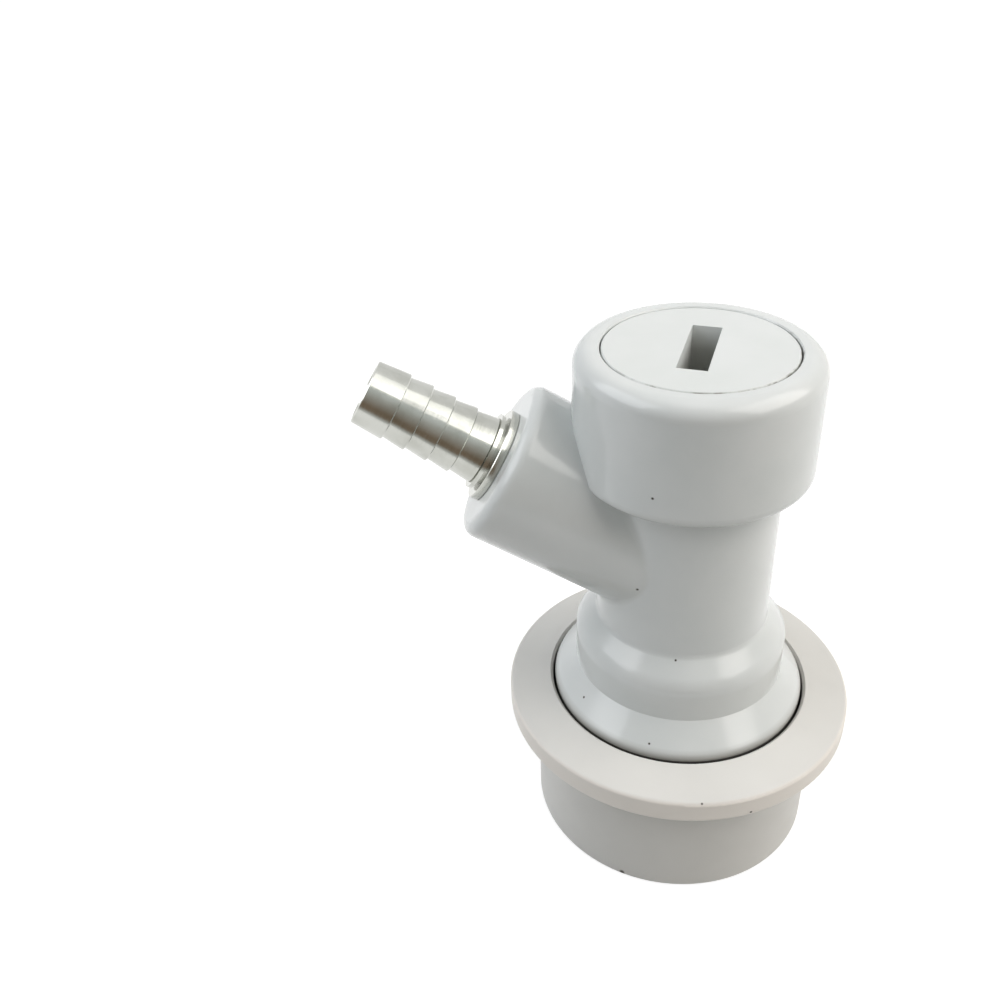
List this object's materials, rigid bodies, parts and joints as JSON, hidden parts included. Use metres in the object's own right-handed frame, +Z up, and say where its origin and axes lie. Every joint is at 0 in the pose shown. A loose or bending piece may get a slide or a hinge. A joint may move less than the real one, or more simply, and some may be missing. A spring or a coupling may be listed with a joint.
{
  "type": "ball lock disconnect",
  "caption": "Quick coupling for a drinks keg post, with a spring-loaded release collar, lock balls, a sealing pin valve, a slotted screw cap and an angled stainless hose tail.",
  "frame": {"origin": "centre of the release collar's bottom face, on the main axis", "axes": "+Z up along the main axis, towards the screw cap; the side arm and its hose tail point to -X"},
  "size_m": [0.0532, 0.038, 0.0585],
  "materials": {
    "body_plastic": "glossy moulded",
    "cap_plastic": "glossy moulded",
    "collar_plastic": "fine matt moulded",
    "tail_steel": "turned and polished",
    "ball_steel": "polished",
    "spring_steel": "drawn wire",
    "pin_steel": "turned",
    "seal_rubber": "matt"
  },
  "bodies": {
    "fixed_body": {"valve_body": "body_plastic", "top_cap": "cap_plastic", "cap_gasket": "seal_rubber", "valve_spring": "spring_steel", "hose_barb": "tail_steel", "collar_ring": "spring_steel"},
    "spring_body": {"collar_spring": "spring_steel"},
    "collar_body": {"release_collar": "collar_plastic"},
    "valve_pin_body": {"valve_pin": "pin_steel", "valve_seal": "seal_rubber"},
    "ball_body_1": {"lock_ball_1": "ball_steel"},
    "ball_body_2": {"lock_ball_2": "ball_steel"},
    "ball_body_3": {"lock_ball_3": "ball_steel"}
  },
  "joints": [
    {"name": "collar_spin", "type": "hinge", "parent": "fixed_body", "child": "spring_body", "pos_m": [0, 0, 0], "axis": [0, 0, 1], "continuous": true},
    {"name": "collar_slide", "type": "slide", "parent": "spring_body", "child": "collar_body", "axis": [0, 0, 1], "range_m": [0, 0.004], "stiffness_N_per_m": 1500, "springref_m": -0.0035, "deforming": ["collar_spring"]},
    {"name": "valve_slide", "type": "slide", "parent": "fixed_body", "child": "valve_pin_body", "axis": [0, 0, 1], "range_m": [0, 0.003], "stiffness_N_per_m": 600, "springref_m": -0.004, "deforming": ["valve_spring"]},
    {"name": "ball_slide_1", "type": "slide", "parent": "fixed_body", "child": "ball_body_1", "axis": [0, 1, 0], "range_m": [0, 0.0011]},
    {"name": "ball_slide_2", "type": "slide", "parent": "fixed_body", "child": "ball_body_2", "axis": [-0.866, -0.5, 0], "range_m": [0, 0.0011]},
    {"name": "ball_slide_3", "type": "slide", "parent": "fixed_body", "child": "ball_body_3", "axis": [0.866, -0.5, 0], "range_m": [0, 0.0011]}
  ],
  "couplings": [
    {"joint": "ball_slide_1", "follows": "collar_slide", "ratio": 0.275},
    {"joint": "ball_slide_2", "follows": "collar_slide", "ratio": 0.275},
    {"joint": "ball_slide_3", "follows": "collar_slide", "ratio": 0.275}
  ]
}
